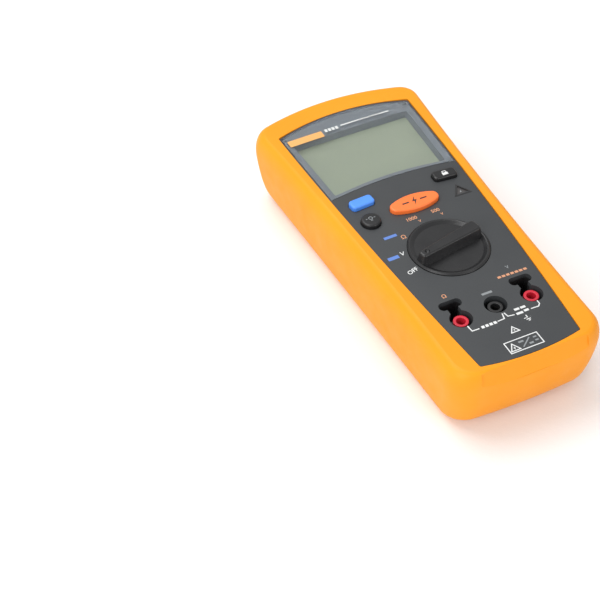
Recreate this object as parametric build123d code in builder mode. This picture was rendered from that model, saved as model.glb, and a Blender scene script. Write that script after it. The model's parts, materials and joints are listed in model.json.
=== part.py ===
"""Handheld insulation resistance tester in a rubber holster.

Frame: origin at the centre of the rear rest plane, +X to the right when the face is read,
+Y towards the display end, +Z out of the face. All lengths are in millimetres.
"""
import os

from build123d import *

os.makedirs("parts", exist_ok=True)

# ---------------------------------------------------------------- driving dimensions
LENGTH = 206.0
TOP_Y = 103.9
BOTTOM_Y = TOP_Y - LENGTH
HALF_WIDTH_TOP = 47.1
HALF_WIDTH_BOTTOM = 39.4
WAIST = 1.9
FACE_Z = 41.0
KNOB_TOP_Z = 46.5

FIT_GAP = 0.1
MOVING_GAP = 0.3
RUNNING_GAP = 0.05

# Holster slices: height, then how far each is drawn in at the sides (display end, socket end)
# and at the ends (display end, socket end)
HOLSTER_SLICES = (
    (0.0, 8.4, 5.8, 10.6, 13.6),
    (2.5, 6.2, 4.6, 7.8, 9.7),
    (8.0, 3.6, 2.8, 3.8, 4.6),
    (15.0, 2.0, 1.6, 2.0, 2.4),
    (23.0, 0.7, 0.6, 0.7, 0.8),
    (30.0, 0.0, 0.0, 0.0, 0.0),
    (36.0, 0.6, 0.5, 0.4, 0.0),
    (39.4, 2.2, 2.0, 1.6, 0.9),
    (41.0, 4.4, 4.4, 4.0, 2.6),
)
HOLSTER_FLOOR = 4.0
HOLSTER_TOP = HOLSTER_SLICES[-1][0]
CHIN_TOP_Y = -99.4
CHIN_CREASE = (-102.0, 31.5)
CHIN_HALF_WIDTH = 27.4

# Case halves, given at their back and at the shoulder under the holster's lip
CASE_BACK_Z = HOLSTER_FLOOR + FIT_GAP
CASE_SHOULDER_Z = 37.5
CASE_BACK = (38.0, 31.0, 92.0, -86.0)
CASE_SHOULDER = (42.6, 35.0, 97.3, -98.2)
CASE_SPLIT_Z = 24.0
WALL = 2.0
FLOOR_Z = CASE_BACK_Z + WALL
CEILING_Z = 38.4
CROWN_RADIUS = 1100.0

# Face plate outline
FACE_HALF_TOP = 36.9
FACE_HALF_BOTTOM = 25.7
FACE_TOP_Y = 89.8
FACE_BOTTOM_Y = -98.6
FACE_TOP_SAG = 6.2
FACE_BOTTOM_SAG = 2.9
FACE_SIDE_BOW = 1.7
FACE_CORNER = 1.2

# Display
LENS_Z = 39.4
LENS_BOTTOM_Y = 29.2
LENS_BOTTOM_RISE = 2.9
LEDGE = 1.9
WINDOW_TOP = (31.4, 75.5)
WINDOW_BOTTOM = (29.6, 34.1)
WINDOW_RISE = 2.9
LCD_TOP_Z = 35.9
LCD_THICKNESS = 2.1

# Boards
BOARD_THICKNESS = 1.6
BOARD_Z = 26.0
BOARD_TOP_Z = BOARD_Z + BOARD_THICKNESS
INPUT_BOARD_Z = 9.2

# Keys
KEY_TRAVEL_ROOM = 1.9
KEY_TOP_Z = 43.0
KEY_FLANGE_Z = 36.4
KEY_FLANGE_THICKNESS = 1.5
KEY_STEM_RADIUS = 2.5
SHIFT_KEY = (-22.6, 21.4, 4.0)
LOCK_KEY = (23.6, 22.2, -4.0)
BACKLIGHT_KEY = (-24.6, 7.9)
TEST_KEY = (0.2, 10.2)
HAZARD_LIGHT = (25.4, 9.4)

# Rotary switch
KNOB_Y = -23.6
KNOB_RADIUS = 19.5
KNOB_BASE_Z = FACE_Z - 1.1
KNOB_RECESS_Z = KNOB_BASE_Z - 0.3
KNOB_HUB_RADIUS = 4.6
O_RING_Z = CEILING_Z + 0.55
KNOB_REST_ANGLE = 192.0
ROTOR_RADIUS = 13.0

# Input sockets
SOCKETS = {"left": (-18.5, -66.8), "common": (0.0, -65.8), "right": (18.5, -66.8)}
SOCKET_BORE_RADIUS = 2.02
CONTACT_RADIUS = 3.0
SLEEVE_RADIUS = 3.6
WELL_RADIUS = 5.4
WELL_WALL = 1.1
SOCKET_BOTTOM_Z = 16.0
SLEEVE_TOP_Z = 39.4
SLEEVE_LIP = 5.0
KEYWAY_Y = -56.8
KEYWAY_SIZE = (11.4, 5.0)
KEYWAY_NECK = 5.6
KEYWAY_DEPTH = 13.0
KEYWAY_WALL = 0.9

# Battery compartment
CELL_RADIUS = 7.1
CELL_PITCH = 14.4
CELL_COUNT = 4
COMPARTMENT = (58.4, 58.0)
BATTERY_Y = -6.0
COMPARTMENT_TOP_Z = 22.2
DOOR = (58.8, 78.0)
DOOR_THICKNESS = 2.0
DOOR_SCREW_REACH = 34.6

# Tilt stand, hinged in grooves of the holster's back
STAND_HINGE_Y = 38.0
STAND_HINGE_Z = 1.7
STAND_INNER = 30.6
STAND_WIDTH = 2.6
STAND_THICKNESS = 2.2
STAND_FOOT_Y = -50.0
STAND_PIN_RADIUS = 0.9

CASE_SCREWS = [(-32.4, 83.6), (32.4, 83.6), (-24.6, -78.6), (24.6, -78.6)]
BOARD_SCREWS = [(-34.9, 66.0), (34.9, 66.0), (-31.4, -2.0), (31.4, -2.0)]


# ---------------------------------------------------------------- shared shapes
def save(piece, name):
    """Labels a finished piece and writes its STEP file."""
    piece.part.label = name
    export_step(piece.part, f"parts/{name}.step")


def arched_outline(sketch, size, sags, radii, waist=0.0):
    """Tapered outline with bowed ends: size is half widths then end positions, top first."""
    half_top, half_bottom, y_top, y_bottom = size
    sag_top, sag_bottom = sags
    top_left = (-half_top, y_top - sag_top)
    top_right = (half_top, y_top - sag_top)
    bottom_left = (-half_bottom, y_bottom + sag_bottom)
    bottom_right = (half_bottom, y_bottom + sag_bottom)
    side_x = (half_top + half_bottom) / 2 - waist
    side_y = (top_left[1] + bottom_left[1]) / 2
    with BuildLine() as edge:
        ThreePointArc(top_left, (0, y_top), top_right)
        ThreePointArc(top_right, (side_x, side_y), bottom_right)
        ThreePointArc(bottom_right, (0, y_bottom), bottom_left)
        ThreePointArc(bottom_left, (-side_x, side_y), top_left)
    make_face(edge.line.edges())
    fillet(sketch.vertices().group_by(Axis.Y)[-1], radii[0])
    fillet(sketch.vertices().group_by(Axis.Y)[0], radii[1])


def waist_at(z):
    """How far the long sides are hollowed at a height: most at the rim, almost none at the back."""
    return WAIST * (z + 1) / FACE_Z


def case_size(z, inset=0.0):
    """Half widths and end positions of the case at a height, drawn in by an inset."""
    share = (z - CASE_BACK_Z) / (CASE_SHOULDER_Z - CASE_BACK_Z)
    half_top, half_bottom, y_top, y_bottom = (
        back + (front - back) * share for back, front in zip(CASE_BACK, CASE_SHOULDER)
    )
    return half_top - inset, half_bottom - inset, y_top - inset, y_bottom + inset


def case_block(low_z, high_z, inset=0.0, mode=Mode.ADD):
    """Block with the case's tapered outline between two heights."""
    sections = []
    for z in (low_z, high_z):
        with BuildSketch(Plane.XY.offset(z)) as section:
            arched_outline(section, case_size(z, inset), (5.0, 4.0), (9.0 - inset, 11.0 - inset), waist_at(z))
        sections.append(section.sketch.face())
    loft(sections, mode=mode)


def face_outline(sketch, inset=0.0):
    """Outline of the face plate, drawn in by an inset."""
    size = (
        FACE_HALF_TOP - inset,
        FACE_HALF_BOTTOM - inset,
        FACE_TOP_Y - inset,
        FACE_BOTTOM_Y + inset,
    )
    sags = (FACE_TOP_SAG, FACE_BOTTOM_SAG)
    arched_outline(sketch, size, sags, (FACE_CORNER, FACE_CORNER), -FACE_SIDE_BOW)


def display_outline(sketch, inset=0.0):
    """The face outline above the display's bowed lower edge."""
    face_outline(sketch, inset)
    low_y = FACE_BOTTOM_Y - WALL
    edge_y = LENS_BOTTOM_Y + inset
    with BuildLine() as below:
        ThreePointArc(
            (-FACE_HALF_TOP, edge_y), (0, edge_y + LENS_BOTTOM_RISE), (FACE_HALF_TOP, edge_y)
        )
        Polyline(
            (FACE_HALF_TOP, edge_y),
            (FACE_HALF_TOP, low_y),
            (-FACE_HALF_TOP, low_y),
            (-FACE_HALF_TOP, edge_y),
        )
    make_face(below.line.edges(), mode=Mode.SUBTRACT)


def crown(mode=Mode.INTERSECT):
    """Trims the piece in progress to the slightly barrelled face."""
    with Locations((0, 0, FACE_Z - CROWN_RADIUS)):
        Cylinder(CROWN_RADIUS, 2 * LENGTH, rotation=(90, 0, 0), mode=mode)


def rounded_key(grow=0.0):
    RectangleRounded(12.4 + 2 * grow, 6.0 + 2 * grow, 1.8 + grow)


def round_key(grow=0.0):
    Circle(4.8 + grow)


def test_oval(grow=0.0):
    """Pointed oval of the test key with softened tips."""
    half_length = 16.1 + 1.3 * grow
    half_width = 5.3 + grow
    with BuildLine() as oval:
        ThreePointArc((-half_length, 0), (0, half_width), (half_length, 0))
        ThreePointArc((half_length, 0), (0, -half_width), (-half_length, 0))
        fillet(oval.vertices(), 3.2 + grow)
    make_face(oval.line.edges())


def keyway(socket, grow=0.0):
    """Recess for a keyed plug: a wide slot with a neck down to its socket."""
    x, y = socket
    with Locations((x, KEYWAY_Y)):
        RectangleRounded(KEYWAY_SIZE[0] + 2 * grow, KEYWAY_SIZE[1] + 2 * grow, 2.3 + grow)
    with Locations((x, (y + KEYWAY_Y) / 2)):
        Rectangle(KEYWAY_NECK + 2 * grow, KEYWAY_Y - y)


KEYS = {
    "shift_key": (SHIFT_KEY[:2], SHIFT_KEY[2], rounded_key, KEY_TOP_Z),
    "lock_key": (LOCK_KEY[:2], LOCK_KEY[2], rounded_key, KEY_TOP_Z),
    "backlight_key": (BACKLIGHT_KEY, 0.0, round_key, KEY_TOP_Z),
    "test_key": (TEST_KEY, 0.0, test_oval, KEY_TOP_Z + 0.3),
}


def key_plane(name, z):
    """Plane of a key at a height, turned as the key is."""
    (x, y), turn, _, _ = KEYS[name]
    return Plane(origin=(x, y, z), x_dir=Vector(1, 0, 0).rotate(Axis.Z, turn), z_dir=(0, 0, 1))


# ---------------------------------------------------------------- holster and stand
with BuildPart() as holster:
    for z, side_top, side_bottom, top_end, bottom_end in HOLSTER_SLICES:
        with BuildSketch(Plane.XY.offset(z)) as slice_outline:
            arched_outline(
                slice_outline,
                (
                    HALF_WIDTH_TOP - side_top,
                    HALF_WIDTH_BOTTOM - side_bottom,
                    TOP_Y - top_end,
                    BOTTOM_Y + bottom_end,
                ),
                (8.0, 1.8),
                (10.0 - side_top / 2, 13.0 - side_bottom / 2),
                waist_at(z),
            )
    loft()
    # chin: a flat ramp from the face's lower edge to a crease across the end wall
    with BuildSketch(Plane.YZ):
        with BuildLine():
            Polyline(
                (CHIN_TOP_Y, HOLSTER_TOP + 0.01),
                CHIN_CREASE,
                (CHIN_CREASE[0] - 9, CHIN_CREASE[1]),
                (CHIN_CREASE[0] - 9, HOLSTER_TOP + 4),
                (CHIN_TOP_Y, HOLSTER_TOP + 4),
                close=True,
            )
        make_face()
    extrude(amount=CHIN_HALF_WIDTH, both=True, mode=Mode.SUBTRACT)
    # pocket for the case, and the window that the face stands in
    case_block(HOLSTER_FLOOR, CASE_SHOULDER_Z + FIT_GAP, -FIT_GAP, Mode.SUBTRACT)
    with BuildSketch(Plane.XY.offset(CASE_SHOULDER_Z)) as face_window:
        face_outline(face_window, -MOVING_GAP)
    extrude(amount=FACE_Z, mode=Mode.SUBTRACT)
    # opening over the battery door, and the groove that the stand folds into
    with BuildSketch():
        with Locations((0, BATTERY_Y)):
            RectangleRounded(DOOR[0] + 1.4, DOOR[1] + 1.4, 3.0)
    extrude(amount=HOLSTER_FLOOR + 1, mode=Mode.SUBTRACT)
    stand_depth = STAND_HINGE_Z + STAND_THICKNESS / 2 + 0.4
    leg_middle = (STAND_HINGE_Y + STAND_FOOT_Y) / 2
    leg_length = STAND_HINGE_Y - STAND_FOOT_Y + 2 * STAND_WIDTH
    with BuildSketch():
        for sign in (-1, 1):
            with Locations((sign * (STAND_INNER + STAND_WIDTH / 2), leg_middle)):
                Rectangle(STAND_WIDTH + 2 * MOVING_GAP, leg_length - STAND_WIDTH)
        with Locations((0, STAND_FOOT_Y)):
            Rectangle(2 * (STAND_INNER + STAND_WIDTH + MOVING_GAP), STAND_WIDTH + 2 + 2 * MOVING_GAP)
    extrude(amount=stand_depth, mode=Mode.SUBTRACT)
    with Locations((0, STAND_HINGE_Y, STAND_HINGE_Z)):
        Cylinder(
            STAND_PIN_RADIUS + RUNNING_GAP,
            2 * (STAND_INNER + STAND_WIDTH + 2.0),
            rotation=(0, 90, 0),
            mode=Mode.SUBTRACT,
        )
save(holster, "holster")

with BuildPart() as tilt_stand:
    bottom_z = STAND_HINGE_Z - STAND_THICKNESS / 2
    with BuildSketch(Plane.XY.offset(bottom_z)):
        for sign in (-1, 1):
            with Locations((sign * (STAND_INNER + STAND_WIDTH / 2), leg_middle)):
                Rectangle(STAND_WIDTH, STAND_HINGE_Y - STAND_FOOT_Y)
        with Locations((0, STAND_FOOT_Y)):
            Rectangle(2 * (STAND_INNER + STAND_WIDTH), STAND_WIDTH + 2)
    extrude(amount=STAND_THICKNESS)
    fillet(tilt_stand.edges().filter_by(Axis.Z).group_by(Axis.Y)[0], 2.0)
    for sign in (-1, 1):
        with Locations((sign * (STAND_INNER + STAND_WIDTH / 2), STAND_HINGE_Y, STAND_HINGE_Z)):
            Cylinder(STAND_THICKNESS / 2, STAND_WIDTH, rotation=(0, 90, 0))
        with Locations((sign * (STAND_INNER + STAND_WIDTH + 0.8), STAND_HINGE_Y, STAND_HINGE_Z)):
            Cylinder(STAND_PIN_RADIUS, 1.8, rotation=(0, 90, 0))
save(tilt_stand, "tilt_stand")

# ---------------------------------------------------------------- case halves
SEAL_GROOVE = (CASE_SPLIT_Z - 0.6, CASE_SPLIT_Z + 0.6, 0.5, 1.5)
BATTERY_CENTRE = (0, BATTERY_Y)
DOOR_SCREW_Y = (BATTERY_Y - DOOR_SCREW_REACH, BATTERY_Y + DOOR_SCREW_REACH)

with BuildPart() as rear_case:
    case_block(CASE_BACK_Z, CASE_SPLIT_Z)
    case_block(FLOOR_Z, CASE_SPLIT_Z + 1, WALL, Mode.SUBTRACT)
    # battery compartment standing on the floor, with a ledge for the door at each end
    with BuildSketch(Plane.XY.offset(CASE_BACK_Z)):
        with Locations(BATTERY_CENTRE):
            Rectangle(DOOR[0] + 3, DOOR[1] + 3)
    extrude(amount=DOOR_THICKNESS + 2.0)
    with BuildSketch(Plane.XY.offset(CASE_BACK_Z)):
        with Locations(BATTERY_CENTRE):
            Rectangle(COMPARTMENT[0] + 2.4, COMPARTMENT[1] + 2.4)
    extrude(amount=COMPARTMENT_TOP_Z - CASE_BACK_Z)
    with Locations(*[(0, y, CASE_BACK_Z) for y in DOOR_SCREW_Y]):
        Cylinder(3.0, 8.0, align=(Align.CENTER, Align.CENTER, Align.MIN))
    with Locations(*[(x, y, CASE_BACK_Z) for x, y in CASE_SCREWS]):
        Cylinder(3.5, CASE_SPLIT_Z - CASE_BACK_Z, align=(Align.CENTER, Align.CENTER, Align.MIN))
    with BuildSketch(Plane.XY.offset(CASE_BACK_Z)):
        with Locations(BATTERY_CENTRE):
            RectangleRounded(DOOR[0] + 0.4, DOOR[1] + 0.4, 2.2)
    extrude(amount=DOOR_THICKNESS + 0.1, mode=Mode.SUBTRACT)
    with BuildSketch(Plane.XY.offset(CASE_BACK_Z)):
        with Locations(BATTERY_CENTRE):
            Rectangle(*COMPARTMENT)
    extrude(amount=COMPARTMENT_TOP_Z - CASE_BACK_Z - 1.2, mode=Mode.SUBTRACT)
    with Locations(*[(0, y, CASE_BACK_Z) for y in DOOR_SCREW_Y]):
        Cylinder(1.55, 6.8, align=(Align.CENTER, Align.CENTER, Align.MIN), mode=Mode.SUBTRACT)
    with Locations(*[(x, y, CASE_BACK_Z) for x, y in CASE_SCREWS]):
        Cylinder(1.6, CASE_SPLIT_Z, align=(Align.CENTER, Align.CENTER, Align.MIN), mode=Mode.SUBTRACT)
        Cylinder(2.9, 8.0, align=(Align.CENTER, Align.CENTER, Align.MIN), mode=Mode.SUBTRACT)
    with BuildPart(mode=Mode.PRIVATE) as seal_groove:
        case_block(SEAL_GROOVE[0], SEAL_GROOVE[1], SEAL_GROOVE[2])
        case_block(SEAL_GROOVE[0] - 1, SEAL_GROOVE[1] + 1, SEAL_GROOVE[3], Mode.SUBTRACT)
    add(seal_groove.part, mode=Mode.SUBTRACT)
save(rear_case, "rear_case")

with BuildPart() as front_case:
    case_block(CASE_SPLIT_Z, CASE_SHOULDER_Z)
    with BuildSketch(Plane.XY.offset(CASE_SHOULDER_Z)) as plateau:
        face_outline(plateau)
    extrude(amount=FACE_Z - CASE_SHOULDER_Z)
    crown()
    case_block(CASE_SPLIT_Z, CASE_SHOULDER_Z - WALL, WALL, Mode.SUBTRACT)
    with BuildSketch(Plane.XY.offset(CASE_SHOULDER_Z - WALL)) as plateau_hollow:
        face_outline(plateau_hollow, 1.4)
    extrude(amount=CEILING_Z - CASE_SHOULDER_Z + WALL, mode=Mode.SUBTRACT)
    # screw bosses, board posts, socket wells and keyway cups hang from the face
    with Locations(*[(x, y, CASE_SPLIT_Z) for x, y in CASE_SCREWS]):
        Cylinder(3.5, CASE_SHOULDER_Z - CASE_SPLIT_Z, align=(Align.CENTER, Align.CENTER, Align.MIN))
    with Locations(*[(x, y, BOARD_TOP_Z) for x, y in BOARD_SCREWS]):
        Cylinder(2.4, CASE_SHOULDER_Z - BOARD_TOP_Z, align=(Align.CENTER, Align.CENTER, Align.MIN))
    with Locations(*[(x, y, SOCKET_BOTTOM_Z) for x, y in SOCKETS.values()]):
        Cylinder(
            WELL_RADIUS + WELL_WALL,
            CEILING_Z + 0.5 - SOCKET_BOTTOM_Z,
            align=(Align.CENTER, Align.CENTER, Align.MIN),
        )
    for name in ("left", "right"):
        with BuildSketch(Plane.XY.offset(FACE_Z)):
            keyway(SOCKETS[name])
        extrude(amount=-8, mode=Mode.SUBTRACT)
    # apertures: socket wells, knob hub, keys, hazard light and display
    with Locations(*[(x, y, SOCKET_BOTTOM_Z) for x, y in SOCKETS.values()]):
        Cylinder(WELL_RADIUS, FACE_Z, align=(Align.CENTER, Align.CENTER, Align.MIN), mode=Mode.SUBTRACT)
    with Locations((0, KNOB_Y, FACE_Z)):
        Cylinder(KNOB_HUB_RADIUS + RUNNING_GAP, 20, mode=Mode.SUBTRACT)
    with Locations((0, KNOB_Y, KNOB_RECESS_Z)):
        Cylinder(
            KNOB_RADIUS + MOVING_GAP, 5, align=(Align.CENTER, Align.CENTER, Align.MIN), mode=Mode.SUBTRACT
        )
    for name, (_, _, key_shape, _) in KEYS.items():
        with BuildSketch(key_plane(name, FACE_Z + 1)):
            key_shape(MOVING_GAP)
        extrude(amount=-5, mode=Mode.SUBTRACT)
    with BuildSketch(Plane.XY.offset(FACE_Z + 1)):
        with Locations(HAZARD_LIGHT):
            RegularPolygon(3.9, 3, rotation=90)
    extrude(amount=-5, mode=Mode.SUBTRACT)
    with BuildSketch(Plane.XY.offset(LENS_Z - 0.05)) as lens_seat:
        display_outline(lens_seat, 0.7)
    extrude(amount=5, mode=Mode.SUBTRACT)
    with BuildSketch(Plane.XY.offset(CASE_SHOULDER_Z - WALL)) as mask_hole:
        display_outline(mask_hole, LEDGE)
    extrude(amount=5, mode=Mode.SUBTRACT)
    with Locations(*[(x, y, CASE_SPLIT_Z) for x, y in CASE_SCREWS]):
        Cylinder(1.35, 10.5, align=(Align.CENTER, Align.CENTER, Align.MIN), mode=Mode.SUBTRACT)
    with Locations(*[(x, y, BOARD_TOP_Z) for x, y in BOARD_SCREWS]):
        Cylinder(1.1, 5.0, align=(Align.CENTER, Align.CENTER, Align.MIN), mode=Mode.SUBTRACT)
    add(seal_groove.part, mode=Mode.SUBTRACT)
save(front_case, "front_case")

with BuildPart() as case_seal:
    case_block(SEAL_GROOVE[0] + 0.05, SEAL_GROOVE[1] - 0.05, SEAL_GROOVE[2] + 0.1)
    case_block(SEAL_GROOVE[0] - 1, SEAL_GROOVE[1] + 1, SEAL_GROOVE[3] - 0.1, Mode.SUBTRACT)
save(case_seal, "case_seal")

with BuildPart() as case_screws:
    head_z = CASE_BACK_Z + 5.9
    with Locations(*[(x, y, head_z) for x, y in CASE_SCREWS]):
        Cylinder(2.7, 2.1, align=(Align.CENTER, Align.CENTER, Align.MIN))
        Cylinder(1.3, 24.0 - 2.0, align=(Align.CENTER, Align.CENTER, Align.MIN))
        Cylinder(1.2, 1.3, align=(Align.CENTER, Align.CENTER, Align.MIN), mode=Mode.SUBTRACT)
save(case_screws, "case_screws")

# ---------------------------------------------------------------- display stack
with BuildPart() as display_lens:
    with BuildSketch(Plane.XY.offset(LENS_Z)) as lens_outline:
        display_outline(lens_outline, 0.85)
    extrude(amount=FACE_Z - LENS_Z)
    crown()
save(display_lens, "display_lens")

with BuildPart() as display_mask:
    with BuildSketch(Plane.XY.offset(LCD_TOP_Z + 0.1)) as mask_outline:
        display_outline(mask_outline, LEDGE + 0.15)
    extrude(amount=LENS_Z - LCD_TOP_Z - 0.15)
    # window with sloping sides down to the glass
    for z, grow in ((LCD_TOP_Z, 0.0), (LENS_Z + 0.1, 1.1)):
        with BuildSketch(Plane.XY.offset(z)) as window:
            with BuildLine():
                lower = (WINDOW_BOTTOM[0] + grow, WINDOW_BOTTOM[1] - grow)
                upper = (WINDOW_TOP[0] + grow, WINDOW_TOP[1] + grow)
                ThreePointArc((-lower[0], lower[1]), (0, lower[1] + WINDOW_RISE), lower)
                Polyline(lower, upper, (-upper[0], upper[1]), (-lower[0], lower[1]))
            make_face()
            fillet(window.vertices(), 1.0)
    loft(mode=Mode.SUBTRACT)
save(display_mask, "display_mask")

LCD_SIZE = (64.0, 44.4)
LCD_CENTRE = (0, WINDOW_TOP[1] + 2.2 - LCD_SIZE[1] / 2)
with BuildPart() as lcd_glass:
    with BuildSketch(Plane.XY.offset(LCD_TOP_Z)):
        with Locations(LCD_CENTRE):
            Rectangle(*LCD_SIZE)
    extrude(amount=-LCD_THICKNESS)
    chamfer(lcd_glass.edges().filter_by(Axis.Z), 0.6)
save(lcd_glass, "lcd_glass")

BACKLIGHT_SIZE = (62.0, 34.0)
BACKLIGHT_TOP_Z = LCD_TOP_Z - LCD_THICKNESS
with BuildPart() as lcd_backlight:
    with BuildSketch(Plane.XY.offset(BACKLIGHT_TOP_Z)):
        with Locations(LCD_CENTRE):
            RectangleRounded(*BACKLIGHT_SIZE, 1.5)
    extrude(amount=BOARD_TOP_Z - BACKLIGHT_TOP_Z)
save(lcd_backlight, "lcd_backlight")

with BuildPart() as lcd_connectors:
    with BuildSketch(Plane.XY.offset(BOARD_TOP_Z)):
        with Locations(LCD_CENTRE):
            with GridLocations(0, LCD_SIZE[1] - 3.0, 1, 2):
                Rectangle(58.0, 2.2)
    extrude(amount=BACKLIGHT_TOP_Z - BOARD_TOP_Z)
save(lcd_connectors, "lcd_connectors")

# ---------------------------------------------------------------- keys
with BuildPart() as keypad_mat:
    mat_top_z = BOARD_TOP_Z + 1.3
    with BuildSketch(Plane.XY.offset(BOARD_TOP_Z)):
        with Locations((0, 15.6)):
            RectangleRounded(66, 24, 3.0)
    extrude(amount=mat_top_z - BOARD_TOP_Z)
    for name in KEYS:
        with BuildSketch(key_plane(name, BOARD_TOP_Z)):
            Circle(KEY_STEM_RADIUS + 2.0)
        extrude(amount=5.2)
    for name in KEYS:
        with BuildSketch(key_plane(name, BOARD_TOP_Z)):
            Circle(KEY_STEM_RADIUS + MOVING_GAP)
        extrude(amount=6, mode=Mode.SUBTRACT)
    with BuildSketch(Plane.XY.offset(BOARD_TOP_Z)):
        with Locations(HAZARD_LIGHT):
            Circle(2.0)
    extrude(amount=6, mode=Mode.SUBTRACT)
save(keypad_mat, "keypad_mat")

for name, (_, _, key_shape, top_z) in KEYS.items():
    with BuildPart() as key:
        with BuildSketch(key_plane(name, KEY_FLANGE_Z)):
            key_shape()
        extrude(amount=top_z - KEY_FLANGE_Z)
        fillet(key.faces().sort_by(Axis.Z)[-1].edges(), 0.9)
        with BuildSketch(key_plane(name, KEY_FLANGE_Z)):
            key_shape(1.0)
        extrude(amount=KEY_FLANGE_THICKNESS)
        with BuildSketch(key_plane(name, BOARD_TOP_Z + KEY_TRAVEL_ROOM)):
            Circle(KEY_STEM_RADIUS)
        extrude(amount=KEY_FLANGE_Z - BOARD_TOP_Z - KEY_TRAVEL_ROOM)
    save(key, name)

with BuildPart() as hazard_lens:
    with BuildSketch(Plane.XY.offset(CEILING_Z - 0.6)):
        with Locations(HAZARD_LIGHT):
            RegularPolygon(3.8, 3, rotation=90)
    extrude(amount=FACE_Z - CEILING_Z)
    with BuildSketch(Plane.XY.offset(CEILING_Z - 1.4)):
        with Locations(HAZARD_LIGHT):
            Circle(4.4)
    extrude(amount=1.3)
save(hazard_lens, "hazard_lens")

with BuildPart() as hazard_led:
    with BuildSketch(Plane.XY.offset(BOARD_TOP_Z)):
        with Locations(HAZARD_LIGHT):
            Circle(1.5)
    extrude(amount=3.2)
    fillet(hazard_led.faces().sort_by(Axis.Z)[-1].edges(), 1.2)
save(hazard_led, "hazard_led")

# ---------------------------------------------------------------- rotary switch
KNOB_CENTRE = (0, KNOB_Y)
with BuildPart() as function_knob:
    # dished disc with a raised rim, turned about the knob's axis
    rim_z = FACE_Z + 0.9
    dish_z = FACE_Z + 0.9
    with BuildSketch(Plane(origin=(0, KNOB_Y, 0), x_dir=(1, 0, 0), z_dir=(0, -1, 0))) as profile:
        with BuildLine():
            Polyline(
                (0, dish_z - 0.9),
                (KNOB_RADIUS - 8.0, dish_z - 1.1),
                (KNOB_RADIUS - 3.2, dish_z - 1.1),
                (KNOB_RADIUS - 1.5, rim_z - 0.1),
                (KNOB_RADIUS - 1.1, rim_z),
                (KNOB_RADIUS - 0.7, rim_z),
                (KNOB_RADIUS, rim_z - 0.7),
                (KNOB_RADIUS, KNOB_BASE_Z),
                (0, KNOB_BASE_Z),
                close=True,
            )
        make_face()
    revolve(axis=Axis((0, KNOB_Y, 0), (0, 0, 1)))
    # grip bar right across, narrower at the pointer end
    grip_plane = Plane(
        origin=(0, KNOB_Y, KNOB_BASE_Z + 0.6),
        x_dir=Vector(1, 0, 0).rotate(Axis.Z, KNOB_REST_ANGLE),
        z_dir=(0, 0, 1),
    )
    with BuildSketch(grip_plane) as grip:
        with BuildLine():
            Polyline(
                (KNOB_RADIUS - 0.8, -3.4),
                (KNOB_RADIUS - 0.8, 3.4),
                (-KNOB_RADIUS + 1.0, 4.8),
                (-KNOB_RADIUS + 1.0, -4.8),
                close=True,
            )
        make_face()
        fillet(grip.vertices().group_by(Axis.X)[0], 3.0)
        fillet(grip.vertices().group_by(Axis.X)[-1], 2.8)
    extrude(amount=KNOB_TOP_Z - KNOB_BASE_Z - 0.6, taper=13)
    fillet(function_knob.faces().sort_by(Axis.Z)[-1].edges(), 1.0)
    # pointer dimple and hub
    with Locations(grip_plane):
        with Locations((KNOB_RADIUS - 5.6, 0, KNOB_TOP_Z - KNOB_BASE_Z - 0.3)):
            Sphere(1.3, mode=Mode.SUBTRACT)
    with Locations((0, KNOB_Y, BOARD_TOP_Z + 6.4)):
        Cylinder(
            KNOB_HUB_RADIUS,
            KNOB_BASE_Z - BOARD_TOP_Z - 6.3,
            align=(Align.CENTER, Align.CENTER, Align.MIN),
        )
    with Locations((0, KNOB_Y, O_RING_Z)):
        Cylinder(KNOB_HUB_RADIUS, 0.7, mode=Mode.SUBTRACT)
        Cylinder(KNOB_HUB_RADIUS - 0.9, 0.7)
save(function_knob, "function_knob")

with BuildPart() as knob_o_ring:
    with Locations((0, KNOB_Y, O_RING_Z)):
        Cylinder(KNOB_HUB_RADIUS, 0.6)
        Cylinder(KNOB_HUB_RADIUS - 0.85, 0.6, mode=Mode.SUBTRACT)
save(knob_o_ring, "knob_o_ring")

ROTOR_Z = BOARD_TOP_Z + 3.0
with BuildPart() as switch_rotor:
    with BuildSketch(Plane.XY.offset(ROTOR_Z)):
        with Locations(KNOB_CENTRE):
            Circle(ROTOR_RADIUS)
            with PolarLocations(ROTOR_RADIUS, 12):
                Circle(0.9, mode=Mode.SUBTRACT)
    extrude(amount=3.3)
save(switch_rotor, "switch_rotor")

with BuildPart() as rotor_contacts:
    with BuildSketch(Plane.XY.offset(BOARD_TOP_Z + 0.3)):
        with Locations(KNOB_CENTRE):
            with PolarLocations(9.0, 3):
                RectangleRounded(2.0, 5.0, 0.6)
    extrude(amount=ROTOR_Z - BOARD_TOP_Z - 0.3)
save(rotor_contacts, "rotor_contacts")

with BuildPart() as switch_housing:
    housing_top_z = ROTOR_Z + 4.4
    with BuildSketch(Plane.XY.offset(BOARD_TOP_Z)):
        with Locations(KNOB_CENTRE):
            Circle(ROTOR_RADIUS + 3.6)
            Circle(ROTOR_RADIUS + MOVING_GAP, mode=Mode.SUBTRACT)
    extrude(amount=housing_top_z - BOARD_TOP_Z)
    with Locations((0, KNOB_Y, ROTOR_Z + 1.6)):
        Cylinder(1.25, 60, rotation=(0, 90, 0), mode=Mode.SUBTRACT)
save(switch_housing, "switch_housing")

with BuildPart() as detent_plungers:
    for sign in (-1, 1):
        with Locations((sign * (ROTOR_RADIUS + 2.0), KNOB_Y, ROTOR_Z + 1.6)):
            Cylinder(1.2, 3.0, rotation=(0, 90, 0))
save(detent_plungers, "detent_plungers")

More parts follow.
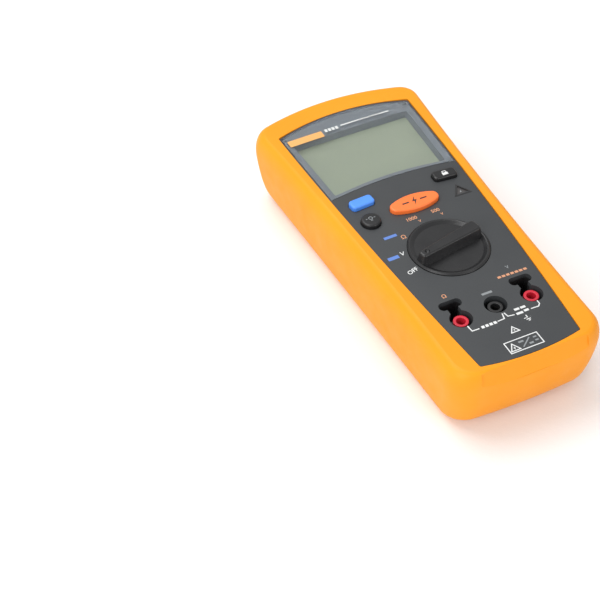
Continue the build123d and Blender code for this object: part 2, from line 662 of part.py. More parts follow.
# ---------------------------------------------------------------- boards and electronics
with BuildPart() as main_board:
    with BuildSketch(Plane.XY.offset(BOARD_Z)):
        with BuildLine():
            Polyline((-31.0, -50), (31.0, -50), (36.4, 66), (35.4, 80), (-35.4, 80), (-36.4, 66), close=True)
        make_face()
        with Locations(*BOARD_SCREWS):
            Circle(1.2, mode=Mode.SUBTRACT)
    extrude(amount=BOARD_THICKNESS)
save(main_board, "main_board")

with BuildPart() as board_screws:
    with Locations(*[(x, y, BOARD_Z) for x, y in BOARD_SCREWS]):
        Cylinder(2.0, 1.2, align=(Align.CENTER, Align.CENTER, Align.MAX))
        Cylinder(1.05, 6.0, align=(Align.CENTER, Align.CENTER, Align.MIN))
save(board_screws, "board_screws")

INPUT_BOARD_Y = (-83.4, -59.6)
INPUT_BOARD_TOP_Z = INPUT_BOARD_Z + BOARD_THICKNESS
POST_RADIUS = 1.5
with BuildPart() as input_board:
    with BuildSketch(Plane.XY.offset(INPUT_BOARD_Z)):
        with Locations((0, sum(INPUT_BOARD_Y) / 2)):
            Rectangle(41.0, INPUT_BOARD_Y[1] - INPUT_BOARD_Y[0])
        with Locations(*SOCKETS.values()):
            Circle(POST_RADIUS + FIT_GAP, mode=Mode.SUBTRACT)
    extrude(amount=BOARD_THICKNESS)
save(input_board, "input_board")

with BuildPart() as link_strip:
    strip_thickness = 0.3
    with BuildSketch(Plane.YZ.offset(7.2)):
        with BuildLine() as strip_path:
            Polyline(
                (-61.4, INPUT_BOARD_TOP_Z + 0.2),
                (-60.2, INPUT_BOARD_TOP_Z + 0.2),
                (-51.5, BOARD_Z - 0.3),
                (-47.0, BOARD_Z - 0.3),
            )
            offset(amount=strip_thickness / 2, side=Side.BOTH)
        make_face()
    extrude(amount=4.2)
save(link_strip, "link_strip")

with BuildPart() as terminal_block:
    with BuildSketch(Plane.XY.offset(INPUT_BOARD_TOP_Z)):
        with Locations((0, -67.4)):
            Rectangle(52.0, 11.0)
        with Locations(*SOCKETS.values()):
            Circle(POST_RADIUS + FIT_GAP, mode=Mode.SUBTRACT)
    extrude(amount=SOCKET_BOTTOM_Z - INPUT_BOARD_TOP_Z - 0.1)
save(terminal_block, "terminal_block")

for name, (x, y) in SOCKETS.items():
    with BuildPart() as socket_sleeve:
        with Locations((x, y, SOCKET_BOTTOM_Z)):
            Cylinder(
                SLEEVE_RADIUS,
                SLEEVE_TOP_Z - SOCKET_BOTTOM_Z,
                align=(Align.CENTER, Align.CENTER, Align.MIN),
            )
            Cylinder(
                CONTACT_RADIUS + 0.02,
                SLEEVE_TOP_Z - SOCKET_BOTTOM_Z - SLEEVE_LIP,
                align=(Align.CENTER, Align.CENTER, Align.MIN),
                mode=Mode.SUBTRACT,
            )
            Cylinder(2.2, FACE_Z, align=(Align.CENTER, Align.CENTER, Align.MIN), mode=Mode.SUBTRACT)
        fillet(socket_sleeve.faces().sort_by(Axis.Z)[-1].edges(), 0.25)
    save(socket_sleeve, f"socket_sleeve_{name}")
    with BuildPart() as socket_contact:
        with Locations((x, y, SOCKET_BOTTOM_Z)):
            Cylinder(
                CONTACT_RADIUS,
                SLEEVE_TOP_Z - SOCKET_BOTTOM_Z - SLEEVE_LIP - 0.1,
                align=(Align.CENTER, Align.CENTER, Align.MIN),
            )
        with Locations((x, y, SOCKET_BOTTOM_Z + 1.2)):
            Cylinder(
                SOCKET_BORE_RADIUS,
                FACE_Z,
                align=(Align.CENTER, Align.CENTER, Align.MIN),
                mode=Mode.SUBTRACT,
            )
        with Locations((x, y, INPUT_BOARD_Z - 0.4)):
            Cylinder(
                POST_RADIUS,
                SOCKET_BOTTOM_Z - INPUT_BOARD_Z + 0.4,
                align=(Align.CENTER, Align.CENTER, Align.MIN),
            )
    save(socket_contact, f"socket_contact_{name}")

for name in ("left", "right"):
    with BuildPart() as keyway_cup:
        with BuildSketch(Plane.XY.offset(CEILING_Z)):
            keyway(SOCKETS[name], KEYWAY_WALL)
        extrude(amount=-KEYWAY_DEPTH)
        with BuildSketch(Plane.XY.offset(CEILING_Z)):
            keyway(SOCKETS[name])
        extrude(amount=-KEYWAY_DEPTH + KEYWAY_WALL, mode=Mode.SUBTRACT)
        with Locations((*SOCKETS[name], SOCKET_BOTTOM_Z)):
            Cylinder(WELL_RADIUS + WELL_WALL + FIT_GAP, 60, mode=Mode.SUBTRACT)
    save(keyway_cup, f"keyway_cup_{name}")

FUSE_CENTRE = (0, -79.8, 15.4)
FUSE_RADIUS = 3.1
FUSE_LENGTH = 32.0
with BuildPart() as fuse:
    with Locations(FUSE_CENTRE):
        Cylinder(FUSE_RADIUS - 0.2, FUSE_LENGTH, rotation=(0, 90, 0))
    for sign in (-1, 1):
        with Locations((sign * (FUSE_LENGTH / 2 - 3), FUSE_CENTRE[1], FUSE_CENTRE[2])):
            Cylinder(FUSE_RADIUS, 6.0, rotation=(0, 90, 0))
save(fuse, "fuse")

with BuildPart() as fuse_clips:
    for sign in (-1, 1):
        with BuildSketch(Plane.YZ.offset(sign * (FUSE_LENGTH / 2 - 3))):
            with Locations((FUSE_CENTRE[1], FUSE_CENTRE[2])):
                Circle(FUSE_RADIUS + 0.6)
                Circle(FUSE_RADIUS + 0.05, mode=Mode.SUBTRACT)
                with Locations((0, FUSE_RADIUS)):
                    Rectangle(4.4, FUSE_RADIUS, mode=Mode.SUBTRACT)
            with Locations((FUSE_CENTRE[1], INPUT_BOARD_TOP_Z)):
                Rectangle(
                    5.0,
                    FUSE_CENTRE[2] - FUSE_RADIUS - INPUT_BOARD_TOP_Z - 0.3,
                    align=(Align.CENTER, Align.MIN),
                )
        extrude(amount=2.0, both=True)
save(fuse_clips, "fuse_clips")

with BuildPart() as transformer_core:
    with BuildSketch(Plane.XY.offset(BOARD_Z)):
        with Locations((-19, 52)):
            Rectangle(26, 22)
            with GridLocations(13, 0, 2, 1):
                Rectangle(6, 14, mode=Mode.SUBTRACT)
    extrude(amount=-12)
save(transformer_core, "transformer_core")

with BuildPart() as transformer_winding:
    with BuildSketch(Plane.XZ.offset(-45.3)):
        with Locations((-19, BOARD_Z - 6)):
            RectangleRounded(18.4, 17.0, 2.5)
            Rectangle(7.4, 12.4, mode=Mode.SUBTRACT)
    extrude(amount=-13.4)
    with BuildSketch(Plane.XY.offset(BOARD_Z - 0.1)):
        with Locations((-19, 52)):
            Rectangle(40, 40)
    extrude(amount=10, mode=Mode.SUBTRACT)
save(transformer_winding, "transformer_winding")

with BuildPart() as hv_capacitors:
    with Locations(*[(x, 32, BOARD_Z) for x in (8, 17.4, 26.8)]):
        Cylinder(4.2, 14.0, align=(Align.CENTER, Align.CENTER, Align.MAX))
    fillet(hv_capacitors.faces().group_by(Axis.Z)[0].edges(), 0.8)
save(hv_capacitors, "hv_capacitors")

with BuildPart() as relays:
    with Locations(*[(x, 50, BOARD_Z) for x in (8, 24)]):
        Box(11, 16, 10, align=(Align.CENTER, Align.CENTER, Align.MAX))
    chamfer(relays.faces().group_by(Axis.Z)[0].edges(), 0.5)
save(relays, "relays")

with BuildPart() as buzzer:
    with Locations((16, 70, BOARD_Z)):
        Cylinder(6.5, 6.0, align=(Align.CENTER, Align.CENTER, Align.MAX))
        with Locations((0, 0, -6.0)):
            Cylinder(1.0, 2.0, mode=Mode.SUBTRACT)
save(buzzer, "buzzer")

with BuildPart() as micro_chips:
    with Locations((-18, 18, BOARD_Z), (2, 16, BOARD_Z), (22, 12, BOARD_Z)):
        Box(12, 12, 1.6, align=(Align.CENTER, Align.CENTER, Align.MAX))
save(micro_chips, "micro_chips")

with BuildPart() as insulating_sheet:
    with BuildSketch(Plane.XY.offset(COMPARTMENT_TOP_Z + 0.4)):
        with Locations(BATTERY_CENTRE):
            RectangleRounded(60, 58, 2.0)
    extrude(amount=0.4)
save(insulating_sheet, "insulating_sheet")

# ---------------------------------------------------------------- cells and door
CELL_LENGTH = 49.4
NUB_LENGTH = 1.1
END_Y = COMPARTMENT[1] / 2
PLATE_THICKNESS = 0.4
COIL_RADIUS = 3.4
CELL_Z = FLOOR_Z + 0.3 + CELL_RADIUS
CELLS = [(CELL_PITCH * (index - (CELL_COUNT - 1) / 2), 1 if index % 2 else -1) for index in range(CELL_COUNT)]

with BuildPart() as battery_cells:
    for x, direction in CELLS:
        nub_y = BATTERY_Y + direction * (END_Y - PLATE_THICKNESS - 0.1)
        can_y = nub_y - direction * NUB_LENGTH
        with BuildSketch(Plane(origin=(x, can_y, CELL_Z), z_dir=(0, -direction, 0))):
            Circle(CELL_RADIUS)
        extrude(amount=CELL_LENGTH)
        with BuildSketch(Plane(origin=(x, nub_y, CELL_Z), z_dir=(0, -direction, 0))):
            Circle(2.7)
        extrude(amount=NUB_LENGTH)
save(battery_cells, "battery_cells")

with BuildPart() as battery_springs:
    spring_room = COMPARTMENT[1] - 2 * PLATE_THICKNESS - CELL_LENGTH - NUB_LENGTH - 0.3
    wire_radius = 0.35
    coil_height = spring_room - 2 * wire_radius
    turns = 3
    for x, direction in CELLS:
        foot_y = BATTERY_Y - direction * (END_Y - PLATE_THICKNESS - wire_radius - 0.05)
        with BuildLine() as coil:
            Helix(
                coil_height / turns,
                coil_height,
                COIL_RADIUS,
                center=(x, foot_y, CELL_Z),
                direction=(0, direction, 0),
            )
        with BuildSketch(Plane(origin=coil.line @ 0, z_dir=coil.line % 0)):
            Circle(wire_radius)
        sweep()
save(battery_springs, "battery_springs")

with BuildPart() as battery_plates:
    for end in (-1, 1):
        end_wall = Plane(
            origin=(0, BATTERY_Y + end * END_Y, CELL_Z), x_dir=(1, 0, 0), z_dir=(0, -end, 0)
        )
        with BuildSketch(end_wall):
            with GridLocations(2 * CELL_PITCH, 0, 2, 1):
                RectangleRounded(2 * CELL_PITCH - 2.6, 10.0, 1.0)
        extrude(amount=PLATE_THICKNESS)
save(battery_plates, "battery_plates")

with BuildPart() as battery_door:
    with BuildSketch(Plane.XY.offset(CASE_BACK_Z)):
        with Locations(BATTERY_CENTRE):
            RectangleRounded(*DOOR, 2.0)
    extrude(amount=DOOR_THICKNESS)
    # grip ribs across the outer face, and the screws' holes
    with BuildSketch(Plane.XY.offset(CASE_BACK_Z)):
        with Locations(BATTERY_CENTRE):
            with GridLocations(0, 4.0, 1, 7):
                SlotOverall(30, 1.6)
    extrude(amount=0.5, mode=Mode.SUBTRACT)
    with Locations(*[(0, y, CASE_BACK_Z) for y in DOOR_SCREW_Y]):
        Cylinder(1.55, 20, mode=Mode.SUBTRACT)
        Cylinder(3.0, 2.2, mode=Mode.SUBTRACT)
save(battery_door, "battery_door")

with BuildPart() as door_gasket:
    with BuildSketch(Plane.XY.offset(CASE_BACK_Z + DOOR_THICKNESS)):
        with Locations(BATTERY_CENTRE):
            RectangleRounded(COMPARTMENT[0] - 0.4, COMPARTMENT[1] - 0.4, 0.6)
            RectangleRounded(COMPARTMENT[0] - 2.0, COMPARTMENT[1] - 2.0, 0.6, mode=Mode.SUBTRACT)
    extrude(amount=0.7)
save(door_gasket, "door_gasket")

with BuildPart() as door_screws:
    with Locations(*[(0, y, CASE_BACK_Z + 0.1) for y in DOOR_SCREW_Y]):
        Cylinder(2.8, 1.0, align=(Align.CENTER, Align.CENTER, Align.MIN))
        Cylinder(1.45, 5.8, align=(Align.CENTER, Align.CENTER, Align.MIN))
        Box(4.2, 0.8, 1.0, mode=Mode.SUBTRACT)
save(door_screws, "door_screws")
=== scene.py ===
"""Looks for the handheld insulation resistance tester, in metres, in the CAD model's frame."""

import json
import math

import bmesh
import bpy
from mathutils import Matrix, Vector


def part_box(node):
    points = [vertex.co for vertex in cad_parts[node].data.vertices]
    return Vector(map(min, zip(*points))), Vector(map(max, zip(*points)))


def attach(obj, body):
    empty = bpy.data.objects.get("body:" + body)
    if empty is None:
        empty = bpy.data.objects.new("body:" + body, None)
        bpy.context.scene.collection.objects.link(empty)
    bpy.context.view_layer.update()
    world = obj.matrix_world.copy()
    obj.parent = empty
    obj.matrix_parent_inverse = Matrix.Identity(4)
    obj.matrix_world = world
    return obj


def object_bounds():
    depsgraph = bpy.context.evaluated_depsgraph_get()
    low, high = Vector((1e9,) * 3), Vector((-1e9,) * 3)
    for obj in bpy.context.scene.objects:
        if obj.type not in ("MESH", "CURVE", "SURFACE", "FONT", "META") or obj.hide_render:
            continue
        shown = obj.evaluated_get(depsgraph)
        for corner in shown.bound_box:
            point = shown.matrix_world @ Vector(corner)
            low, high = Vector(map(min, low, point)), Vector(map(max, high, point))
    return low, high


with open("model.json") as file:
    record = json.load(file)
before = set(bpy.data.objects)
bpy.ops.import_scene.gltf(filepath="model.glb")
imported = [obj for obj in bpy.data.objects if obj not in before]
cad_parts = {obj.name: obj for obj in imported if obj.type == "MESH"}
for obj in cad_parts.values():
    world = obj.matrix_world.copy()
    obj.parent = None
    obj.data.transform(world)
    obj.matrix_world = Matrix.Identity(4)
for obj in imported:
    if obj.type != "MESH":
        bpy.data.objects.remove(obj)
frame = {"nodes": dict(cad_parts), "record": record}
CAD_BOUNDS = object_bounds()
NODES = frame["nodes"]
MM = 0.001

# ---------------------------------------------------------------- places read from the frame
FACE_LOW, FACE_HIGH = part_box("front_case")
KNOB_LOW, KNOB_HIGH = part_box("function_knob")
KNOB_CENTRE = Vector(((KNOB_LOW[0] + KNOB_HIGH[0]) / 2, (KNOB_LOW[1] + KNOB_HIGH[1]) / 2, FACE_HIGH[2]))
SOCKETS = {
    mount["name"]: Vector((mount["pos_m"][0], mount["pos_m"][1], FACE_HIGH[2]))
    for mount in frame["record"]["mounts"]
    if mount["kind"] == "bore"
}
ABOVE = CAD_BOUNDS[1][2] + 0.01

# ---------------------------------------------------------------- colours
YELLOW = (0.84, 0.31, 0.012)
YELLOW_DEEP = (0.78, 0.26, 0.008)
FACE_GREY = (0.034, 0.037, 0.040)
FACE_GREY_LIGHT = (0.045, 0.048, 0.051)
MASK_GREY = (0.20, 0.235, 0.27)
MASK_GREY_LIGHT = (0.235, 0.27, 0.305)


# ---------------------------------------------------------------- materials
class Shader:
    """A node material built up one layer at a time."""

    def __init__(self, name, colour, roughness=0.5, **sockets):
        self.material = bpy.data.materials.new(name)
        self.material.use_nodes = True
        self.tree = self.material.node_tree
        self.surface = self.tree.nodes["Principled BSDF"]
        self.surface.inputs["Base Color"].default_value = (*colour, 1)
        self.surface.inputs["Roughness"].default_value = roughness
        for socket, value in sockets.items():
            self.surface.inputs[socket.replace("_", " ")].default_value = value
        self.position = self.add("ShaderNodeTexCoord").outputs["Object"]
        self.height = None

    def add(self, kind, **values):
        node = self.tree.nodes.new(kind)
        for key, value in values.items():
            setattr(node, key, value)
        return node

    def link(self, source, target):
        self.tree.links.new(source, target)

    def noise(self, scale, detail=3.0, stretch=(1, 1, 1), roughness=0.55):
        """Noise over the piece; scale counts features per metre."""
        mapping = self.add("ShaderNodeMapping")
        mapping.inputs["Scale"].default_value = stretch
        noise = self.add("ShaderNodeTexNoise")
        noise.inputs["Scale"].default_value = scale
        noise.inputs["Detail"].default_value = detail
        noise.inputs["Roughness"].default_value = roughness
        self.link(self.position, mapping.inputs["Vector"])
        self.link(mapping.outputs["Vector"], noise.inputs["Vector"])
        return noise.outputs["Fac"]

    def ramp(self, source, low, high):
        """Maps a noise's middle range onto low to high."""
        mapped = self.add("ShaderNodeMapRange")
        mapped.inputs["From Min"].default_value = 0.3
        mapped.inputs["From Max"].default_value = 0.7
        mapped.inputs["To Min"].default_value = low
        mapped.inputs["To Max"].default_value = high
        self.link(source, mapped.inputs["Value"])
        return mapped.outputs["Result"]

    def tint(self, source, colour, amount):
        """Mixes a second colour over the base where the source is high."""
        mix = self.add("ShaderNodeMix", data_type="RGBA")
        base = self.surface.inputs["Base Color"]
        if base.is_linked:
            self.link(base.links[0].from_socket, mix.inputs["A"])
        else:
            mix.inputs["A"].default_value = base.default_value
        mix.inputs["B"].default_value = (*colour, 1)
        self.link(self.ramp(source, 0.0, amount), mix.inputs["Factor"])
        self.link(mix.outputs["Result"], base)
        return self

    def edges(self, colour, amount, spread=0.0009):
        """Wears or lightens the rounded edges."""
        bevel = self.add("ShaderNodeBevel", samples=6)
        bevel.inputs["Radius"].default_value = spread
        plain = self.add("ShaderNodeNewGeometry")
        dot = self.add("ShaderNodeVectorMath", operation="DOT_PRODUCT")
        self.link(bevel.outputs["Normal"], dot.inputs[0])
        self.link(plain.outputs["Normal"], dot.inputs[1])
        flip = self.add("ShaderNodeMapRange")
        flip.inputs["From Min"].default_value = 1.0
        flip.inputs["From Max"].default_value = 0.8
        flip.inputs["To Min"].default_value = 0.35
        flip.inputs["To Max"].default_value = 0.65
        self.link(dot.outputs["Value"], flip.inputs["Value"])
        return self.tint(flip.outputs["Result"], colour, amount)

    def vary_roughness(self, source, low, high):
        self.link(self.ramp(source, low, high), self.surface.inputs["Roughness"])
        return self

    def bump(self, source, depth, strength=1.0):
        """Adds a relief of that depth in metres."""
        bump = self.add("ShaderNodeBump")
        bump.inputs["Distance"].default_value = depth
        bump.inputs["Strength"].default_value = strength
        self.link(source, bump.inputs["Height"])
        if self.height is not None:
            self.link(self.height, bump.inputs["Normal"])
        self.height = bump.outputs["Normal"]
        self.link(self.height, self.surface.inputs["Normal"])
        return self


def moulded(name, colour, second, roughness=(0.4, 0.5), grain=2600, depth=0.00002, **sockets):
    """Moulded plastic or rubber: fine grain, cloudy colour and uneven gloss."""
    shader = Shader(name, colour, roughness[0], **sockets)
    shader.tint(shader.noise(22, 4), second, 0.5)
    shader.vary_roughness(shader.noise(90, 5), *roughness)
    shader.bump(shader.noise(grain, 2), depth)
    return shader


def finish_all(materials):
    """Gives each CAD node its finish."""
    for shader, nodes in materials:
        for node in nodes:
            mesh = NODES[node].data
            mesh.materials.clear()
            mesh.materials.append(shader.material)


def make_materials():
    rubber = moulded(
        "holster_rubber", YELLOW, YELLOW_DEEP,
        (0.42, 0.55), 3000, 0.000018, Specular_IOR_Level=0.22,
    )
    rubber.bump(rubber.noise(60, 2), 0.00003)
    face = moulded("face_plastic", FACE_GREY, FACE_GREY_LIGHT, (0.42, 0.52), 4200, 0.00002)
    back = moulded("case_plastic", (0.05, 0.052, 0.055), (0.07, 0.07, 0.072), (0.48, 0.6), 2600, 0.00003)
    keys = moulded("key_rubber", (0.008, 0.008, 0.009), (0.014, 0.014, 0.015), (0.3, 0.42), 3600, 0.000015)
    blue = moulded("blue_key_rubber", (0.07, 0.26, 0.86), (0.10, 0.30, 0.88), (0.36, 0.48), 3600, 0.000012)
    orange = moulded(
        "orange_key_rubber", (0.92, 0.17, 0.03), (0.95, 0.21, 0.045),
        (0.36, 0.48), 3600, 0.000012,
    )
    knob = moulded("knob_plastic", (0.011, 0.011, 0.012), (0.018, 0.018, 0.019), (0.28, 0.4), 3400, 0.000015)
    red = moulded("red_sleeve", (0.62, 0.02, 0.045), (0.5, 0.015, 0.03), (0.25, 0.35), 2000, 0.00001)
    black = moulded("black_plastic", (0.012, 0.012, 0.013), (0.02, 0.02, 0.02), (0.35, 0.5), 2500, 0.00001)
    white = moulded("white_plastic", (0.75, 0.75, 0.72), (0.68, 0.68, 0.64), (0.4, 0.5), 2000, 0.00001)
    board = moulded("solder_mask", (0.012, 0.11, 0.045), (0.02, 0.15, 0.06), (0.3, 0.42), 500, 0.00002)
    lens = Shader("clear_lens", (1, 1, 1), 0.03, Transmission_Weight=1.0, IOR=1.45)
    lens.vary_roughness(lens.noise(35, 4), 0.015, 0.06)
    mask = moulded("mask_print", MASK_GREY, MASK_GREY_LIGHT, (0.3, 0.4), 3000, 0.000006)
    lcd = moulded("lcd_film", (0.36, 0.42, 0.31), (0.365, 0.425, 0.315), (0.3, 0.34), 5000, 0.000002)
    brass = moulded(
        "plated_contact", (0.78, 0.60, 0.30), (0.6, 0.44, 0.2),
        (0.2, 0.34), 900, 0.00001, Metallic=1.0,
    )
    steel = moulded(
        "zinc_steel", (0.58, 0.58, 0.6), (0.44, 0.44, 0.46),
        (0.26, 0.42), 1200, 0.00001, Metallic=1.0,
    )
    copper = moulded(
        "enamelled_wire", (0.62, 0.26, 0.12), (0.5, 0.2, 0.08),
        (0.25, 0.4), 400, 0.00006, Metallic=0.7,
    )
    ferrite = moulded("ferrite", (0.05, 0.05, 0.055), (0.08, 0.08, 0.08), (0.6, 0.75), 1400, 0.00003)
    can = moulded("cell_wrap", (0.03, 0.03, 0.035), (0.05, 0.05, 0.05), (0.2, 0.32), 300, 0.00001)
    fuse = moulded("fuse_ceramic", (0.78, 0.75, 0.68), (0.7, 0.66, 0.6), (0.45, 0.6), 1800, 0.00002)
    hazard = moulded("hazard_window", (0.06, 0.055, 0.055), (0.075, 0.07, 0.07), (0.15, 0.25), 3000, 0.000005)
    return [
        (rubber, ["holster", "tilt_stand"]),
        (face, ["front_case"]),
        (back, ["rear_case", "battery_door"]),
        (keys, ["backlight_key", "lock_key"]),
        (blue, ["shift_key"]),
        (orange, ["test_key"]),
        (knob, ["function_knob"]),
        (red, ["socket_sleeve_left", "socket_sleeve_right"]),
        (black, [
            "socket_sleeve_common", "keyway_cup_left", "keyway_cup_right", "terminal_block", "switch_housing",
            "hv_capacitors", "buzzer", "micro_chips", "keypad_mat", "case_seal", "door_gasket", "knob_o_ring",
            "lcd_connectors",
        ]),
        (white, ["switch_rotor", "relays", "insulating_sheet", "lcd_backlight"]),
        (board, ["main_board", "input_board"]),
        (lens, ["display_lens"]),
        (mask, ["display_mask"]),
        (lcd, ["lcd_glass"]),
        (brass, [
            "socket_contact_left", "socket_contact_common", "socket_contact_right", "fuse_clips",
            "rotor_contacts", "link_strip",
        ]),
        (steel, [
            "case_screws", "board_screws", "door_screws", "battery_springs", "battery_plates",
            "detent_plungers",
        ]),
        (copper, ["transformer_winding"]),
        (ferrite, ["transformer_core"]),
        (can, ["battery_cells"]),
        (fuse, ["fuse"]),
        (hazard, ["hazard_lens", "hazard_led"]),
    ]


# ---------------------------------------------------------------- printing on the face and keys
INK = 0.02 * MM
INK_LIFT = 0.035 * MM
BORDER_INSETS = (0.06 * MM, 2.4 * MM)
BORDER_SPACING = 0.2 * MM
BORDER_DROP = 0.008 * MM
LENS_EDGE_BAND = 0.05 * MM
STEP = 3.0


def stroke(points, width, closed=False):
    """Outlines, in millimetres, of a line of even width drawn through the points."""
    fine = []
    ends = points + points[:1] if closed else points
    for start, end in zip(ends, ends[1:]):
        start, end = Vector(start), Vector(end)
        pieces = max(1, math.ceil((end - start).length / STEP))
        fine += [start.lerp(end, step / pieces) for step in range(pieces)]
    if not closed:
        fine.append(Vector(points[-1]))
    left, right = [], []
    for index, point in enumerate(fine):
        before = fine[index - 1] if closed or index else point
        after = fine[(index + 1) % len(fine)] if closed or index < len(fine) - 1 else point
        into, out = (point - before), (after - point)
        into = into.normalized() if into.length else out.normalized()
        out = out.normalized() if out.length else into
        normal = Vector((-into.y - out.y, into.x + out.x)).normalized()
        reach = width / 2 / max(0.5, normal.dot(Vector((-into.y, into.x))))
        left.append(point + normal * reach)
        right.append(point - normal * reach)
    return [left, right] if closed else [left + right[::-1]]


def bar(left, right, y, height):
    """A solid bar between two x places."""
    return stroke([(left, y), (right, y)], height)


def triangle(x, y, width, height):
    return [(x - width / 2, y), (x + width / 2, y), (x, y + height)]


def ring(x, y, radius, width, sides=24):
    angles = [2 * math.pi * side / sides for side in range(sides)]
    return stroke([(x + radius * math.cos(a), y + radius * math.sin(a)) for a in angles], width, True)


def bolt(x, y, size):
    """A lightning bolt, as tall as size."""
    shape = [(0.18, 0.5), (-0.24, -0.06), (-0.02, -0.06), (-0.16, -0.5), (0.26, 0.08), (0.04, 0.08)]
    return [[(x + size * a, y + size * b) for a, b in shape]]


def make_print(name, body, node, ink, outlines=(), words=(), origin=(0, 0)):
    """Lays outlines and words, in millimetres from an origin, on a node's upper surface."""
    curve = bpy.data.curves.new(name, "CURVE")
    curve.dimensions = "2D"
    curve.fill_mode = "BOTH"
    curve.extrude = INK
    for outline in outlines:
        spline = curve.splines.new("POLY")
        spline.points.add(len(outline) - 1)
        for point, (x, y) in zip(spline.points, outline):
            point.co = (x * MM, y * MM, 0, 1)
        spline.use_cyclic_u = True
    drawn = [(curve, Vector((0, 0)), 0.0)] if outlines else []
    for word, place, size, turn in words:
        text = bpy.data.curves.new(name, "FONT")
        text.body = word
        text.size = size * MM
        text.align_x = text.align_y = "CENTER"
        text.extrude = INK
        text.offset = 0.035 * MM
        drawn.append((text, Vector(place) * MM, math.radians(turn)))
    vertices, faces = [], []
    target = NODES[node]
    for data, place, turn in drawn:
        holder = bpy.data.objects.new(name, data)
        bpy.context.collection.objects.link(holder)
        flat = bpy.data.meshes.new_from_object(holder.evaluated_get(bpy.context.evaluated_depsgraph_get()))
        bpy.data.objects.remove(holder)
        first = len(vertices)
        for vertex in flat.vertices:
            x, y = Vector(vertex.co[:2]) @ Matrix.Rotation(-turn, 2)
            x, y = x + place.x + origin[0], y + place.y + origin[1]
            found, hit, _, _ = target.ray_cast((x, y, ABOVE), (0, 0, -1))
            height = hit.z if found else FACE_HIGH[2]
            vertices.append((x, y, height + INK_LIFT + vertex.co.z))
        faces += [[first + corner for corner in face.vertices] for face in flat.polygons]
    mesh = bpy.data.meshes.new(name)
    mesh.from_pydata(vertices, [], faces)
    tidy = bmesh.new()
    tidy.from_mesh(mesh)
    bmesh.ops.remove_doubles(tidy, verts=tidy.verts, dist=0.0005 * MM)
    bmesh.ops.recalc_face_normals(tidy, faces=tidy.faces)
    tidy.to_mesh(mesh)
    tidy.free()
    mesh.materials.append(ink.material)
    piece = bpy.data.objects.new(name, mesh)
    bpy.context.collection.objects.link(piece)
    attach(piece, body)
    return piece


def make_lens_border(ink):
    """The printed border under the clear lens, which hides the ledge that the lens sits on."""
    lens = NODES["display_lens"].data
    low_z = min(vertex.co.z for vertex in lens.vertices)
    rim = [Vector(vertex.co[:2]) for vertex in lens.vertices if vertex.co.z < low_z + LENS_EDGE_BAND]
    middle = sum(rim, Vector((0, 0))) / len(rim)
    rim.sort(key=lambda point: math.atan2(point.y - middle.y, point.x - middle.x))
    spaced = [rim[0]]
    for point in rim[1:]:
        if (point - spaced[-1]).length > BORDER_SPACING:
            spaced.append(point)
    loops = []
    for inset in BORDER_INSETS:
        loop = []
        for index, point in enumerate(spaced):
            along = spaced[(index + 1) % len(spaced)] - spaced[index - 1]
            inward = Vector((-along.y, along.x)).normalized()
            loop.append(point + inward * inset)
        loops.append(loop)
    top_z = low_z - BORDER_DROP
    vertices = [(p.x, p.y, z) for z in (top_z, top_z - INK) for loop in loops for p in loop]
    count = len(spaced)
    faces = []
    for index in range(count):
        after = (index + 1) % count
        for a, b in ((0, 1), (1, 3), (3, 2), (2, 0)):
            faces.append((a * count + index, a * count + after, b * count + after, b * count + index))
    mesh = bpy.data.meshes.new("lens_border_print")
    mesh.from_pydata(vertices, [], faces)
    mesh.materials.append(ink.material)
    piece = bpy.data.objects.new("lens_border_print", mesh)
    bpy.context.collection.objects.link(piece)
    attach(piece, "meter")


def printed(name, colour, second, roughness=(0.4, 0.55)):
    """Screen-printed ink, a little uneven and worn."""
    shader = moulded(name, colour, second, roughness, 6000, 0.000006)
    shader.tint(shader.noise(700, 4), second, 0.35)
    return shader


